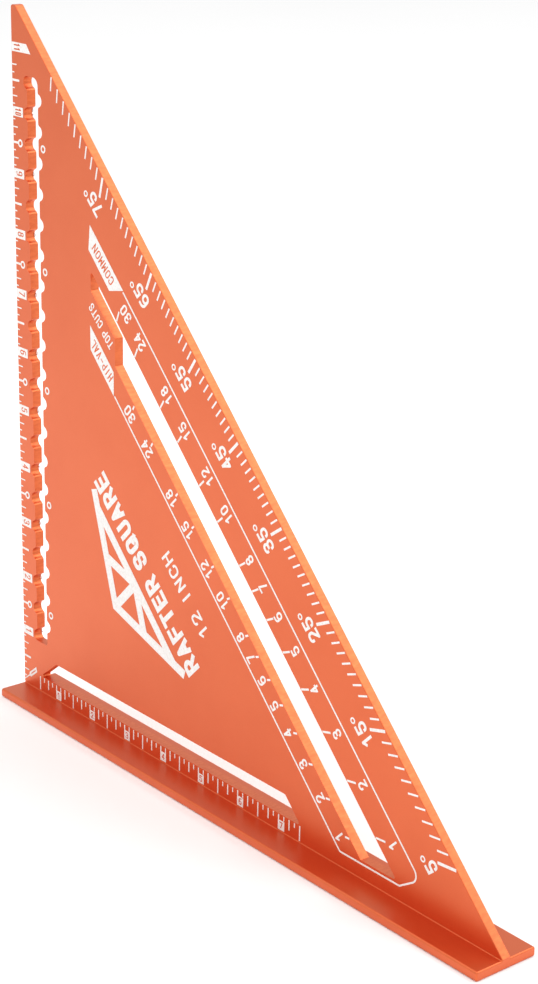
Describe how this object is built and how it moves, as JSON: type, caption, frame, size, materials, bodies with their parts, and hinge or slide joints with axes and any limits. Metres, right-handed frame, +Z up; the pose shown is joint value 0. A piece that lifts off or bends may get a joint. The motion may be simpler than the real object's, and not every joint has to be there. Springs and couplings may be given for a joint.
{
  "type": "speed square",
  "caption": "Triangular rafter square of orange anodised aluminium: a slotted flat blade standing on a T fence, with white printed inch, degree and rafter scales.",
  "frame": {"origin": "middle of the fence's underside, on the blade's middle plane", "axes": "+Z up the blade from the fence's underside; +X along the fence from the pivot corner towards the thin point; the blade's front face looks to -Y"},
  "size_m": [0.3, 0.029, 0.3012],
  "materials": {
    "orange_anodised": "satin orange anodised aluminium",
    "white_print": "matte white print"
  },
  "bodies": {
    "root": {"back_degree_numbers": "white_print", "back_degree_ticks": "white_print", "back_upright_numbers": "white_print", "back_upright_ticks": "white_print", "base_inch_numbers": "white_print", "base_inch_ticks": "white_print", "blade": "orange_anodised", "common_label": "white_print", "common_numbers": "white_print", "common_ticks": "white_print", "degree_number_05": "white_print", "degree_number_15": "white_print", "degree_number_25": "white_print", "degree_number_35": "white_print", "degree_number_45": "white_print", "degree_number_55": "white_print", "degree_number_65": "white_print", "degree_number_75": "white_print", "degree_ticks_major": "white_print", "degree_ticks_minor": "white_print", "fence": "orange_anodised", "hip_label": "white_print", "hip_numbers": "white_print", "hip_ticks": "white_print", "pivot_mark": "white_print", "plumb_cut_label": "white_print", "scale_border": "white_print", "scribe_rings": "white_print", "size_label": "white_print", "title_label": "white_print", "truss_sign": "white_print", "upright_inch_numbers": "white_print", "upright_inch_ticks": "white_print"}
  },
  "joints": []
}
